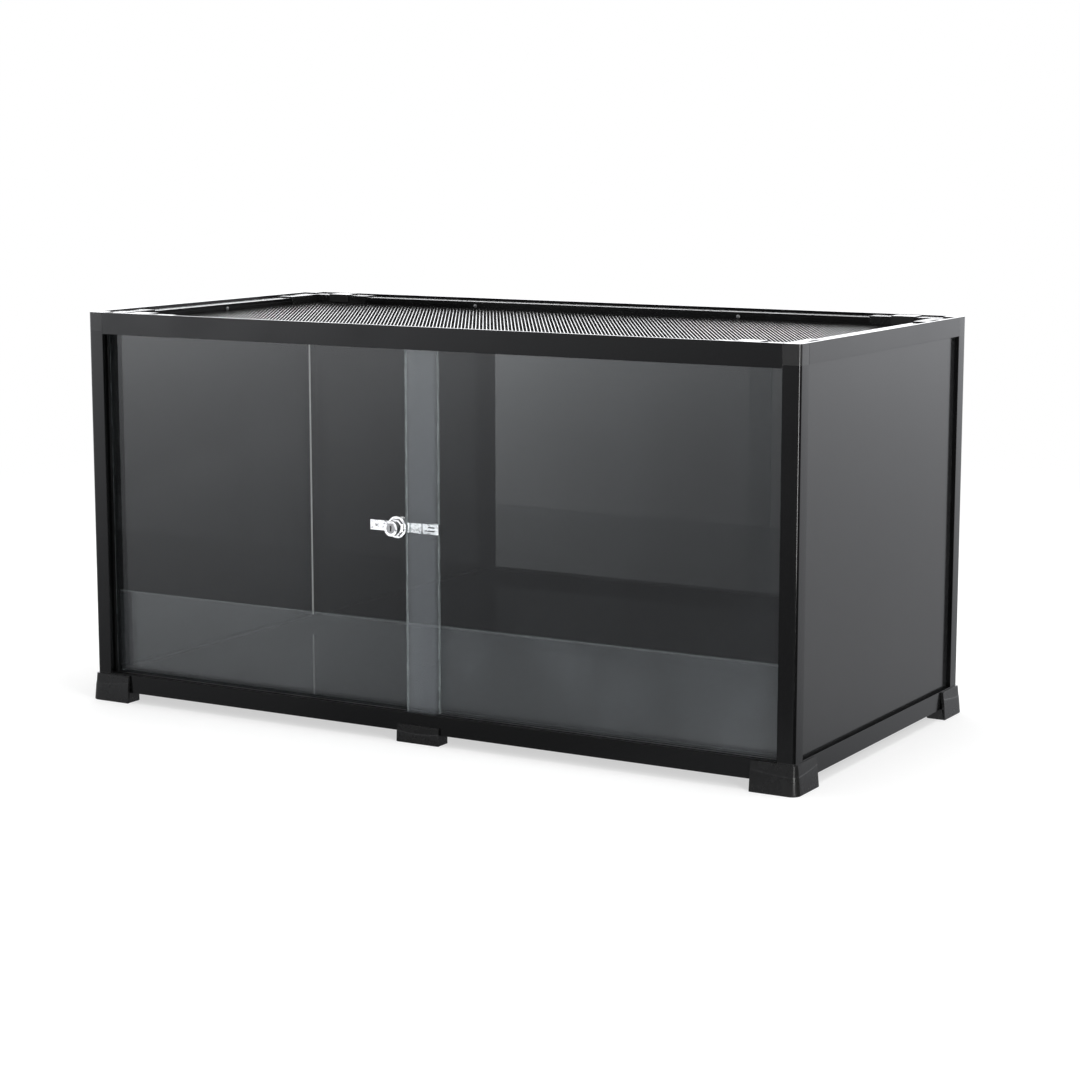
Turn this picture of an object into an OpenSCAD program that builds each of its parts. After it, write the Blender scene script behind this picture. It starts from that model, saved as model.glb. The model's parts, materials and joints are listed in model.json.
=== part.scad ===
// Sliding-door reptile terrarium: a frame of hollow black bars plugged onto corner pieces,
// dark board walls, two sliding glass doors with a ratchet bar lock, and a lift-off screen top.
// The origin is on the floor, under the middle of the tank. The doors face -Y.

/* [Overall size] */
// Width over the corner feet
tank_w = 914.4; // [600:0.1:1300]
// Depth over the corner feet
tank_d = 457.2; // [360:0.1:700]
// Height from the floor to the top rim
tank_h = 457.2; // [330:0.1:700]

/* [Frame bars] */
// Side of the square posts and width of the rails
bar = 20; // [19:0.5:24]
// Wall of the hollow frame bars
bar_wall = 1.5; // [1:0.1:1.8]
// Height of the bottom rails
base_rail_h = 21; // [20:0.5:26]
// Height of the side and rear top rails
top_rail_h = 21.5; // [20:0.5:25]
// Height of the front top rail, which holds the upper door track
head_rail_h = 25; // [24.5:0.5:30]
// Depth of the front bottom rail, which also holds the low front panel
sill_d = 28; // [27:0.5:34]
// Radius of the outer upright edges of the frame
corner_r = 4; // [2:0.5:5]
// Reach of the corner pieces' plugs into the bars
plug_len = 24; // [15:1:40]
// Clearance on each side of a plug
plug_clear = 0.15; // [0.05:0.05:0.3]

/* [Walls] */
// Thickness of the side and rear wall boards
wall_t = 4; // [3:0.5:5]
// Step from the frame's outer face back to the wall board
wall_inset = 5; // [4:0.5:6]
// Depth of the grooves that hold the wall boards
groove_d = 7; // [6:0.5:7.5]
// Gap on each side of a board in its groove
board_clear = 0.2; // [0.1:0.05:0.3]
// Gap between a board's edge and the bottom of its groove
board_end_gap = 0.5; // [0.3:0.1:1]
// Thickness of the floor board
floor_t = 5; // [4:0.5:6]
// Height of the floor board's groove above the underside of the rails
floor_rise = 4; // [3:0.5:5]
// Depth of the floor board's groove
floor_in = 6; // [4:0.5:6.5]
// Height of the low front glass
low_glass_h = 101.6; // [60:0.1:160]
// Thickness of the low front glass
low_glass_t = 4; // [3:0.5:4]
// Depth of the low front glass in the sill
low_glass_in = 6; // [4:0.5:7]

/* [Doors] */
// Thickness of the door glass
door_t = 4; // [3:0.5:4]
// Gap on each side of a door in its channel
door_clear = 0.3; // [0.2:0.05:0.4]
// Gap between the two panes, where the lock bar runs
pane_gap = 4.4; // [4:0.1:4.6]
// How far the two closed doors overlap
door_overlap = 37; // [25:1:60]
// Step from the frame's front face back to the door track
track_inset = 3.3; // [2:0.1:3.5]
// Wall of the door track liners
track_wall = 1.2; // [0.8:0.1:1.3]
// Depth of the lower door track
lower_track_h = 7; // [6:0.5:7.5]
// Depth of the upper door track
upper_track_h = 12; // [11.5:0.5:12.5]
// Reach of a door into the upper track
door_head_in = 5; // [4:0.5:5]
// Reach of a closed door into the side of its post
door_jamb_in = 4; // [2:0.5:5]
// Depth of the grooves for the door edges in the front posts
jamb_d = 6; // [5.5:0.1:6.4]
// Gap under a door in its track, and round a track liner
slide_gap = 0.2; // [0.1:0.05:0.3]

/* [Lock] */
// Height of the lock bar's middle above the floor
lock_z = 237; // [160:1:260]
// Height of the lock bar
lock_bar_h = 11.4; // [9:0.2:13]
// Thickness of the lock bar
lock_bar_t = 1.8; // [1.5:0.1:2]
// Reach of the lock bar to the left of the tank's middle
lock_bar_reach = 68; // [60:1:110]
// Pitch of the teeth on the lock bar
tooth_pitch = 2.6; // [2:0.1:4]
// Depth of the teeth on the lock bar
tooth_d = 1; // [0.6:0.1:1.4]
// Number of teeth on each edge of the lock bar
tooth_count = 10; // [4:1:11]
// Reach of the hook behind the left door
hook_len = 9; // [5:0.5:14]
// Diameter of the lock body's rear flange
lock_flange_dia = 24; // [21:0.5:28]
// Depth of the lock body's rear flange
lock_flange_t = 7; // [5:0.5:8]
// Diameter of the lock body's barrel at its front
lock_barrel_dia = 17; // [15:0.5:18]
// Length of the barrel's wide front
lock_head_len = 5; // [3:0.5:7]
// Diameter of the barrel's neck, between its front and the flange
lock_neck_dia = 14; // [13.4:0.1:14.6]
// Diameter of the turning key plug
key_plug_dia = 11; // [9:0.5:12]
// Running clearance round the key plug and the lock bar
lock_clear = 0.08; // [0.04:0.01:0.1]

/* [Feet] */
// Gap between the floor and the underside of the frame
foot_lift = 12; // [8:0.5:14]
// How far the feet stand out past the frame at the floor
foot_flare = 6; // [4:0.5:8]
// Length of a corner foot along each side
foot_leg = 48; // [36:1:70]
// Height of a corner foot
foot_h = 32; // [26:0.5:32]
// Thickness of a foot's outer skirt
foot_wall = 2.6; // [1.5:0.1:3]
// Length of a middle foot
mid_foot_len = 54; // [36:1:90]
// Height of a middle foot's plate
mid_foot_h = 20; // [16:0.5:20]
// How far a middle foot stands out past the frame
mid_foot_out = 3.5; // [2.8:0.1:4]
// Diameter of the foot screws' shank
foot_screw_dia = 4; // [3:0.1:4.5]
// Diameter of the foot screws' head
foot_screw_head = 8; // [6:0.5:9]

/* [Screen top] */
// Height of the rim round the screen top's seat
lid_seat = 5; // [4:0.5:5]
// Thickness of the rim round the screen top
rim_t = 4; // [3:0.5:5]
// Thickness of the screen bars' flange
flange_t = 2; // [1.5:0.1:2.5]
// Reach of the screen bars in from the frame's outer face
flange_reach = 30; // [29:0.5:36]
// Thickness of the screen bars' upright skirt
skirt_t = 2; // [1.5:0.1:2.5]
// Depth from the top rim to the foot of the skirt
skirt_drop = 11; // [10:0.5:13]
// Gap between the screen top and the frame round it
lid_clear = 0.3; // [0.2:0.05:0.5]
// Thickness of the screen mesh
mesh_t = 0.8; // [0.6:0.1:1.2]
// Diamond gaps across the mesh, as drawn here
mesh_cols = 22; // [8:1:22]
// Width of a mesh strand, as drawn here
mesh_strand = 4; // [2:0.5:6]
// Thickness of the strips that hold the mesh
strip_t = 1.2; // [0.8:0.1:1.5]
// Height of the strips that hold the mesh
strip_h = 4; // [3.5:0.1:6]
// Distance of the long sides' rivets from the middle
rivet_x = 181; // [100:1:240]
// Diameter of the rivets' shank
rivet_dia = 3; // [2:0.1:3.2]
// Diameter of the rivets' head
rivet_head = 5; // [4:0.1:5.6]

/* [Cable ports] */
// Length of a corner block along the front or rear
block_x = 105; // [102:1:130]
// Length of a corner block along the side
block_y = 85; // [76:1:110]
// How far a corner block's top lies under the rim
block_drop = 1.5; // [1.4:0.1:1.8]
// Distance from the tank's side to the cable port
port_x = 54; // [44:1:56]
// Length of the cable port
port_w = 20; // [14:1:22]
// Length of a cable port's cover
cover_w = 28; // [25:1:30]
// Travel of a cable port's cover
cover_travel = 24; // [14:1:24]
// Thickness of a cable port's cover
cover_t = 1.1; // [0.8:0.1:1.2]
// Length of the finger recess in a corner block
recess_len = 26; // [16:1:34]
// Width of the finger recess in a corner block
recess_w = 9; // [6:0.5:10]

/* [Hidden] */
$fn = 48;
eps = 0.01;
over = 1;
part_clear = 0.1;

frame_w = tank_w - 2 * foot_flare;
frame_d = tank_d - 2 * foot_flare;
inner_w = frame_w - 2 * bar;
inner_d = frame_d - 2 * bar;

// Heights above the floor
base_z = foot_lift;
post_z0 = foot_lift + base_rail_h;
post_z1 = tank_h - top_rail_h;
head_z = tank_h - head_rail_h;
seat_z = tank_h - lid_seat;
floor_z = base_z + floor_rise + board_clear;

// Frame bar sections
groove_u = wall_inset - board_clear;
groove_w = wall_t + 2 * board_clear;
chamber = bar - groove_d - 2 * bar_wall;
base_chamber_h = base_rail_h - max(groove_d, lower_track_h) - 2 * bar_wall;
top_chamber_h = top_rail_h - lid_seat - groove_d - 2 * bar_wall;
head_chamber_h = head_rail_h - lid_seat - upper_track_h - 2 * bar_wall;

// Door planes, measured back from the frame's front face
channel_w = door_t + 2 * door_clear;
outer_door_y = track_inset + slide_gap + track_wall + door_clear;
inner_door_y = outer_door_y + door_t + pane_gap;
track_w = 2 * (slide_gap + track_wall + door_clear) + 2 * door_t + pane_gap;
door_z0 = post_z0 - lower_track_h + track_wall + slide_gap;
door_z1 = head_z + door_head_in;
door_w = inner_w / 2 + door_jamb_in + door_overlap / 2;
low_glass_y = bar + 2 * board_clear;

// Lock
bar_y = outer_door_y + door_t + (pane_gap - lock_bar_t) / 2;
hook_t = lock_bar_t;
hook_gap = 0.2;
lock_back_y = inner_door_y - door_clear;
lock_front_y = -foot_flare;
lock_x = -door_overlap / 2 - lock_flange_dia / 2 - part_clear;
lock_slot_h = lock_bar_h + 2 * lock_clear;
key_plug_len = 13;
key_slot = [1.8, 6, 5];
hook_slot = [9, 1.2, 0.5];
hook_slot_in = 3;
hook_slot_z = 2;
hook_seam = 0.9;
tooth_run = 0.9;
pawl = [5.4, 2.6, 4.4];
pawl_clear = 0.3;

// Feet
screw_reach = 12;
screw_head_h = 3;
screw_fit = 0.05;
screw_pos = 13.4;
screw_sink = 5;
screw_end_gap = 2;
screw_head_clear = 0.5;
drive_slot = [5, 1.2, 1.5];
foot_core_d = 17;
core_out = foot_flare - foot_wall / 2;
mid_core_out = mid_foot_out - foot_wall / 2;
skirt_lip = 3;
mid_skirt_lip = 2.6;
skirt_root = 0.8;

// Screen top
flange_z = seat_z + flange_t;
skirt_z = tank_h - skirt_drop;
block_top = tank_h - block_drop;
mesh_edge = flange_reach - skirt_t + part_clear;
mesh_w = frame_w - 2 * mesh_edge;
mesh_d = frame_d - 2 * mesh_edge;
rivet_z = skirt_z + rivet_head / 2 + part_clear;
rivet_fit = 0.05;
rivet_head_h = 1;
rivet_tail = 1;
port_y0 = bar + 2 * lid_clear;
port_y1 = flange_reach - skirt_t - 2 * part_clear;
cover_in = 4;
cover_lift = 1;
slot_end = 0.5;
rail_slot_y = 12;
rail_slot_w = 2;
rail_slot_d = 1;
recess_x = 12;
recess_end = 10;
recess_d = 2;
tab = [9, 3];

// ---- Placing ----

module flip_x(on) {
    if (on) mirror([1, 0, 0]) children();
    else children();
}

module flip_y(on) {
    if (on) mirror([0, 1, 0]) children();
    else children();
}

// Children drawn for the front left corner, with X and Y measured in from the frame's faces
module at_corner(right, rear) {
    flip_x(right) flip_y(rear) translate([-frame_w / 2, -frame_d / 2, 0]) children();
}

// Sweeps a section, drawn as (distance in from the outer face, height), along the front
module along_x(len) {
    translate([-len / 2, 0, 0]) rotate([90, 0, 90]) linear_extrude(len) children();
}

// Sweeps the same kind of section along the left side
module along_y(len) {
    translate([0, len / 2, 0]) rotate([90, 0, 0]) linear_extrude(len) children();
}

module front_run(len, rear = false) {
    flip_y(rear) translate([0, -frame_d / 2, 0]) along_x(len) children();
}

module side_run(len, right = false) {
    flip_x(right) translate([-frame_w / 2, 0, 0]) along_y(len) children();
}

// ---- Sections ----

module round_corner_square() {
    translate([corner_r, 0]) square([bar - corner_r, bar]);
    translate([0, corner_r]) square([bar, bar - corner_r]);
    translate([corner_r, corner_r]) circle(corner_r);
}

module base_rail_section() {
    difference() {
        square([bar, base_rail_h]);
        translate([groove_u, base_rail_h - groove_d]) square([groove_w, groove_d + over]);
        translate([bar_wall, bar_wall]) square([chamber, base_chamber_h]);
        translate([bar - floor_in, floor_rise]) square([floor_in + over, floor_t + 2 * board_clear]);
    }
}

module sill_section() {
    difference() {
        square([sill_d, base_rail_h]);
        translate([track_inset, base_rail_h - lower_track_h]) square([track_w, lower_track_h + over]);
        translate([bar_wall, bar_wall]) square([chamber, base_chamber_h]);
        translate([low_glass_y - board_clear, base_rail_h - low_glass_in])
            square([low_glass_t + 2 * board_clear, low_glass_in + over]);
        translate([sill_d - floor_in, floor_rise]) square([floor_in + over, floor_t + 2 * board_clear]);
    }
}

module top_rail_section() {
    difference() {
        square([bar, top_rail_h]);
        translate([rim_t, top_rail_h - lid_seat]) square([bar, lid_seat + over]);
        translate([groove_u, -over]) square([groove_w, groove_d + over]);
        translate([bar_wall, groove_d + bar_wall]) square([chamber, top_chamber_h]);
    }
}

module head_rail_section() {
    difference() {
        square([bar, head_rail_h]);
        translate([rim_t, head_rail_h - lid_seat]) square([bar, lid_seat + over]);
        translate([track_inset, -over]) square([track_w, upper_track_h + over]);
        translate([bar_wall, upper_track_h + bar_wall]) square([chamber, head_chamber_h]);
    }
}

module front_post_section() {
    difference() {
        round_corner_square();
        translate([bar_wall, bar_wall]) square([chamber, chamber]);
        translate([groove_u, bar - groove_d]) square([groove_w, groove_d + over]);
        for (y = [outer_door_y, inner_door_y])
            translate([bar - jamb_d, y - door_clear]) square([jamb_d + over, channel_w]);
    }
}

module rear_post_section() {
    difference() {
        round_corner_square();
        translate([bar_wall, bar_wall]) square([chamber, chamber]);
        translate([groove_u, bar - groove_d]) square([groove_w, groove_d + over]);
        translate([bar - groove_d, groove_u]) square([groove_d + over, groove_w]);
    }
}

// Two door channels side by side in a liner of height h, open at the top
module track_section(h) {
    difference() {
        translate([track_inset + slide_gap, 0]) square([track_w - 2 * slide_gap, h]);
        for (y = [outer_door_y, inner_door_y])
            translate([y - door_clear, track_wall]) square([channel_w, h]);
    }
}

// ---- Frame ----

module sill_rail() {
    color("#1b1b1d") difference() {
        front_run(inner_w) translate([0, base_z]) sill_section();
        middle_screw_hole(false);
    }
}

module base_rail_rear() {
    color("#1b1b1d") difference() {
        front_run(inner_w, true) translate([0, base_z]) base_rail_section();
        middle_screw_hole(true);
    }
}

module base_rail_side(right) {
    color("#1b1b1d") side_run(inner_d, right) translate([0, base_z]) base_rail_section();
}

module head_rail() {
    color("#1b1b1d") front_run(inner_w) translate([0, head_z]) head_rail_section();
}

module top_rail_rear() {
    color("#1b1b1d") front_run(inner_w, true) translate([0, post_z1]) top_rail_section();
}

module top_rail_side(right) {
    color("#1b1b1d") side_run(inner_d, right) translate([0, post_z1]) top_rail_section();
}

module front_post(right) {
    color("#1b1b1d") at_corner(right, false)
        translate([0, 0, post_z0]) linear_extrude(post_z1 - post_z0) front_post_section();
}

module rear_post(right) {
    color("#1b1b1d") at_corner(right, true)
        translate([0, 0, post_z0]) linear_extrude(post_z1 - post_z0) rear_post_section();
}

// A plug that fills a bar's hollow, starting inside the corner piece
module plug(pos, size) {
    translate([for (i = [0:2]) pos[i] + plug_clear]) cube([for (i = [0:2]) size[i] - 2 * plug_clear]);
}

module corner_plugs(z, x_h, y_z, y_h) {
    translate([bar - over, 0, 0])
        plug([0, bar_wall, z], [plug_len + over, chamber, x_h]);
    translate([0, bar - over, 0])
        plug([bar_wall, 0, y_z], [chamber, plug_len + over, y_h]);
}

// Cuts for the edges of the closed doors
module door_slots(z0, z1) {
    for (y = [outer_door_y, inner_door_y])
        translate([bar - jamb_d, y - door_clear, z0]) cube([jamb_d + over, channel_w, z1 - z0]);
}

module base_corner(right, rear) {
    color("#242427") at_corner(right, rear) difference() {
        union() {
            translate([0, 0, base_z]) linear_extrude(base_rail_h) round_corner_square();
            corner_plugs(base_z + bar_wall, base_chamber_h, base_z + bar_wall, base_chamber_h);
            plug([bar_wall, bar_wall, post_z0 - over], [chamber, chamber, plug_len + over]);
        }
        if (!rear) door_slots(door_z0 - slide_gap, post_z0 + eps);
        corner_screw_hole();
    }
}

module top_corner(right, rear) {
    x_plug_z = rear ? post_z1 + groove_d + bar_wall : head_z + upper_track_h + bar_wall;
    x_plug_h = rear ? top_chamber_h : head_chamber_h;
    color("#242427") at_corner(right, rear) difference() {
        union() {
            translate([0, 0, post_z1]) linear_extrude(top_rail_h) round_corner_square();
            corner_plugs(x_plug_z, x_plug_h, post_z1 + groove_d + bar_wall, top_chamber_h);
            plug([bar_wall, bar_wall, post_z1 - plug_len], [chamber, chamber, plug_len + over]);
        }
        if (!rear) door_slots(post_z1 - eps, head_z + upper_track_h - track_wall);
    }
}

// ---- Walls ----

// A wall board for an opening of width w, whose corners step round the corner pieces
module wall_board(w) {
    reach = groove_d - board_end_gap;
    step = reach + board_clear;
    h = post_z1 - post_z0 + 2 * reach;
    translate([0, 0, post_z0 - reach]) {
        translate([-w / 2 - reach + step, 0, 0]) cube([w + 2 * (reach - step), wall_t, h]);
        translate([-w / 2 - reach, 0, step]) cube([w + 2 * reach, wall_t, h - 2 * step]);
    }
}

module side_wall(right) {
    color("#3d3e41") flip_x(right) translate([-frame_w / 2 + wall_inset, 0, 0]) rotate(-90)
        wall_board(inner_d);
}

module rear_wall() {
    color("#3d3e41") translate([0, frame_d / 2 - wall_inset - wall_t, 0]) wall_board(inner_w);
}

// The floor board steps back at the rear corner pieces
module floor_board() {
    reach = floor_in - board_end_gap;
    front_y = -frame_d / 2 + sill_d - reach;
    rear_y = frame_d / 2 - bar + reach;
    step = reach + board_clear;
    color("#2b2c2f") {
        translate([-inner_w / 2 - reach, front_y, floor_z])
            cube([inner_w + 2 * reach, rear_y - front_y - step, floor_t]);
        translate([-inner_w / 2 - reach + step, front_y, floor_z])
            cube([inner_w + 2 * (reach - step), rear_y - front_y, floor_t]);
    }
}

// The low glass stands in the sill and steps over the side rails at each end
module low_front_glass() {
    end_gap = 2 * board_clear;
    z0 = post_z0 - low_glass_in + slide_gap;
    wide = frame_w - 2 * (wall_inset + wall_t + end_gap);
    narrow = inner_w - 2 * end_gap;
    color("#9fb3ad", 0.35) translate([0, -frame_d / 2 + low_glass_y, 0]) {
        translate([-narrow / 2, 0, z0]) cube([narrow, low_glass_t, low_glass_h]);
        translate([-wide / 2, 0, post_z0 + slide_gap])
            cube([wide, low_glass_t, z0 + low_glass_h - post_z0 - slide_gap]);
    }
}

// ---- Doors ----

module lower_track() {
    color("#161618") front_run(inner_w)
        translate([0, post_z0 - lower_track_h]) track_section(lower_track_h);
}

module upper_track() {
    color("#161618") front_run(inner_w)
        translate([0, head_z + upper_track_h]) mirror([0, 1]) track_section(upper_track_h);
}

module left_door() {
    color("#8fa39d", 0.35)
        translate([door_overlap / 2 - door_w, -frame_d / 2 + inner_door_y, door_z0])
        cube([door_w, door_t, door_z1 - door_z0]);
}

module right_door() {
    color("#8fa39d", 0.35)
        translate([-door_overlap / 2, -frame_d / 2 + outer_door_y, door_z0])
        cube([door_w, door_t, door_z1 - door_z0]);
}

// ---- Lock ----

// The toothed bar lies between the panes and hooks round the left door's free edge
module lock_bar() {
    hook_x = door_overlap / 2 + hook_gap;
    back_y = inner_door_y + door_t + hook_gap;
    color("#d7d8da") translate([0, -frame_d / 2, lock_z]) {
        difference() {
            translate([-lock_bar_reach, bar_y, -lock_bar_h / 2])
                cube([lock_bar_reach + hook_x + hook_t, lock_bar_t, lock_bar_h]);
            for (i = [0:tooth_count - 1], s = [-1, 1])
                translate([lock_x + i * tooth_pitch, bar_y - over, s * lock_bar_h / 2])
                    rotate([-90, 0, 0]) linear_extrude(lock_bar_t + 2 * over)
                    polygon([[0, -s * over], [tooth_pitch * tooth_run, -s * over], [0, s * tooth_d]]);
            for (z = [-1, 1] * hook_slot_z)
                translate([hook_x - hook_slot_in - hook_slot[0], bar_y - over, z - hook_slot[1] / 2])
                    cube([hook_slot[0], hook_slot[2] + over, hook_slot[1]]);
            translate([-hook_seam, bar_y - over, -lock_bar_h])
                cube([hook_seam, hook_slot[2] + over, 2 * lock_bar_h]);
        }
        difference() {
            translate([hook_x, bar_y, -lock_bar_h / 2])
                cube([hook_t, back_y + hook_t - bar_y, lock_bar_h]);
            for (z = [-1, 1] * hook_slot_z)
                translate([hook_x + hook_t / 3, bar_y - over, z - hook_slot[1] / 2])
                    cube([hook_t, over + hook_t, hook_slot[1]]);
        }
        translate([hook_x - hook_len, back_y, -lock_bar_h / 2])
            cube([hook_len + hook_t, hook_t, lock_bar_h]);
    }
}

// Turns a shape drawn along +Z into one that runs back along +Y from the given place
module along_depth(y) {
    translate([lock_x, -frame_d / 2 + y, lock_z]) rotate([-90, 0, 0]) children();
}

module lock_body() {
    color("#cfd0d3") difference() {
        union() {
            along_depth(lock_back_y - lock_flange_t) cylinder(d = lock_flange_dia, h = lock_flange_t);
            along_depth(lock_front_y) cylinder(d = lock_barrel_dia, h = lock_head_len);
            along_depth(lock_front_y + over)
                cylinder(d = lock_neck_dia, h = lock_back_y - lock_front_y - 2 * over);
        }
        translate([lock_x - lock_flange_dia, -frame_d / 2 + bar_y - lock_clear, lock_z - lock_slot_h / 2])
            cube([2 * lock_flange_dia, lock_bar_t + 2 * lock_clear, lock_slot_h]);
        along_depth(lock_front_y - over)
            cylinder(d = key_plug_dia + 2 * lock_clear, h = key_plug_len + over + lock_clear);
        pawl_block(pawl_clear);
    }
}

module key_plug() {
    color("#b9babd") difference() {
        along_depth(lock_front_y) cylinder(d = key_plug_dia, h = key_plug_len);
        translate([lock_x - key_slot[0] / 2, -frame_d / 2 + lock_front_y - over, lock_z - key_slot[1] / 2])
            cube([key_slot[0], key_slot[2] + over, key_slot[1]]);
    }
}

// The spring-steel pawl that catches the teeth, drawn back as the key holds it
module lock_pawl() {
    color("#8d8e90") pawl_block(0);
}

// The pawl, or the room for it with a gap all round, just behind the key plug
module pawl_block(gap) {
    translate([lock_x - pawl[0] / 2, lock_front_y + key_plug_len + 2 * lock_clear, lock_z - pawl[2] / 2])
        translate([-gap, -frame_d / 2 - gap, -gap]) cube([for (side = pawl) side + 2 * gap]);
}

// ---- Feet ----

// The skirt's section, as (distance in from the frame's face, height)
module skirt_section(lip, out, h) {
    polygon([
        [-part_clear, h], [-lip, h], [-out, 0], [-out + foot_wall, 0],
        [-part_clear, max(h * skirt_root, foot_lift + part_clear)]
    ]);
}

module corner_skirt() {
    translate([(corner_r + foot_leg) / 2, 0, 0]) along_x(foot_leg - corner_r)
        skirt_section(skirt_lip, foot_flare, foot_h);
    translate([0, (corner_r + foot_leg) / 2, 0]) along_y(foot_leg - corner_r)
        skirt_section(skirt_lip, foot_flare, foot_h);
    translate([corner_r, corner_r, 0]) rotate([0, 0, 180]) rotate_extrude(angle = 90)
        translate([corner_r, 0]) mirror([1, 0]) skirt_section(skirt_lip, foot_flare, foot_h);
}

module screw_bore() {
    translate([0, 0, -over])
        cylinder(d = foot_screw_head + 2 * screw_head_clear, h = screw_sink + over);
    cylinder(d = foot_screw_dia + 2 * screw_fit, h = base_z + screw_reach);
}

module corner_screw_hole() {
    translate([screw_pos, screw_pos, 0]) screw_bore();
}

module middle_screw_hole(rear) {
    flip_y(rear) translate([0, -frame_d / 2 + bar_wall + chamber / 2, 0]) screw_bore();
}

module corner_foot(right, rear) {
    color("#2a2b2e") at_corner(right, rear) difference() {
        union() {
            corner_skirt();
            translate([corner_r, corner_r, 0]) cylinder(r = corner_r + core_out, h = base_z);
            translate([0, -core_out, 0]) cube([foot_leg, foot_core_d + core_out, base_z]);
            translate([-core_out, 0, 0]) cube([foot_core_d + core_out, foot_leg, base_z]);
        }
        corner_screw_hole();
    }
}

module middle_foot(rear) {
    color("#2a2b2e") difference() {
        flip_y(rear) translate([0, -frame_d / 2, 0]) {
            along_x(mid_foot_len) skirt_section(mid_skirt_lip, mid_foot_out, mid_foot_h);
            translate([-mid_foot_len / 2, -mid_core_out, 0])
                cube([mid_foot_len, foot_core_d + mid_core_out, base_z]);
        }
        middle_screw_hole(rear);
    }
}

// A screw with a cross slot in its head, which lies up in the foot's counterbore
module foot_screw() {
    head_z0 = screw_sink - screw_head_h;
    difference() {
        translate([0, 0, head_z0]) {
            cylinder(d = foot_screw_head, h = screw_head_h);
            cylinder(d = foot_screw_dia, h = base_z + screw_reach - screw_end_gap - head_z0);
        }
        for (a = [0, 90])
            rotate(a) translate([-drive_slot[0] / 2, -drive_slot[1] / 2, head_z0 - over])
                cube([drive_slot[0], drive_slot[1], drive_slot[2] + over]);
    }
}

module foot_screws() {
    color("#a5a6a8") {
        for (right = [false, true], rear = [false, true])
            at_corner(right, rear) translate([screw_pos, screw_pos, 0]) foot_screw();
        for (rear = [false, true])
            flip_y(rear) translate([0, -frame_d / 2 + bar_wall + chamber / 2, 0]) foot_screw();
    }
}

// ---- Screen top ----

// A flange that lies on the rails, and a skirt that hangs down inside them
module screen_section(top) {
    translate([rim_t + lid_clear, seat_z]) square([flange_reach - rim_t - lid_clear, top - seat_z]);
    translate([flange_reach - skirt_t, skirt_z]) square([skirt_t, top - skirt_z]);
}

module rivet_holes() {
    rivet_places() rotate([90, 0, 0])
        cylinder(d = rivet_dia + 2 * rivet_fit, h = 4 * (skirt_t + strip_t), center = true);
}

// Rivets on the inner faces of the skirts, drawn for a skirt that faces -Y
module rivet_places() {
    for (rear = [false, true], s = [-1, 1])
        flip_y(rear) translate([s * rivet_x, -frame_d / 2 + flange_reach, rivet_z])
            rotate(180) children();
    for (right = [false, true])
        flip_x(right) translate([-frame_w / 2 + flange_reach, 0, rivet_z]) rotate(90) children();
}

module screen_bar_x(rear) {
    color("#1e1e20") difference() {
        front_run(frame_w - 2 * block_x, rear) screen_section(flange_z);
        rivet_holes();
    }
}

module screen_bar_y(right) {
    color("#1e1e20") difference() {
        side_run(frame_d - 2 * block_y, right) screen_section(flange_z);
        rivet_holes();
    }
}

// Expanded mesh: strands at 60 degrees to the front leave upright diamond gaps
module screen_mesh() {
    pitch = mesh_w / mesh_cols;
    row = pitch * sin(60);
    rows = ceil(mesh_d / 2 / row);
    cols = ceil(mesh_cols / 2);
    shrink = 1 - mesh_strand / row;
    color("#17171a") translate([0, 0, skirt_z - mesh_t]) linear_extrude(mesh_t) difference() {
        square([mesh_w, mesh_d], center = true);
        intersection() {
            square([mesh_w - 2 * mesh_strand, mesh_d - 2 * mesh_strand], center = true);
            for (j = [-rows:rows], i = [-cols:cols])
                translate([(i + (abs(j) % 2) / 2) * pitch, j * row])
                    polygon([[-pitch / 2, 0], [0, -row], [pitch / 2, 0], [0, row]] * shrink);
        }
    }
}

module strip_section() {
    translate([flange_reach, skirt_z]) square([strip_t, strip_h]);
}

module mesh_strip_x(rear) {
    color("#202124") difference() {
        front_run(frame_w - 2 * block_x, rear) strip_section();
        rivet_holes();
    }
}

module mesh_strip_y(right) {
    color("#202124") difference() {
        side_run(frame_d - 2 * block_y, right) strip_section();
        rivet_holes();
    }
}

// Each rivet's head lies on its strip, and its shank goes out through the skirt
module mesh_rivets() {
    color("#c9cacc") rivet_places() {
        translate([0, -strip_t, 0]) rotate([90, 0, 0]) cylinder(d = rivet_head, h = rivet_head_h);
        translate([0, skirt_t + rivet_tail, 0]) rotate([90, 0, 0])
            cylinder(d = rivet_dia, h = skirt_t + strip_t + rivet_tail + rivet_head_h / 2);
    }
}

// ---- Cable ports ----

// An L in plan, between two distances in from the frame's faces
module block_plan(from, to) {
    translate([from, from]) square([block_x - from, to - from]);
    translate([from, from]) square([to - from, block_y - from]);
}

// A raised L that joins two screen bars and steps round the frame's corner piece
module port_block(right, rear) {
    color("#222326") at_corner(right, rear) difference() {
        union() {
            translate([0, 0, seat_z]) linear_extrude(block_top - seat_z) difference() {
                block_plan(rim_t + lid_clear, flange_reach);
                square(bar + lid_clear);
            }
            translate([0, 0, skirt_z]) linear_extrude(seat_z - skirt_z)
                block_plan(flange_reach - skirt_t, flange_reach);
        }
        translate([port_x, port_y0, skirt_z - over])
            cube([port_w, port_y1 - port_y0, skirt_drop + 2 * over]);
        translate([port_x - (cover_w - port_w) / 2 - slot_end, rail_slot_y, block_top - rail_slot_d])
            cube([cover_w + cover_travel + 2 * slot_end, rail_slot_w, rail_slot_d + over]);
        finger_recess();
    }
}

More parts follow.
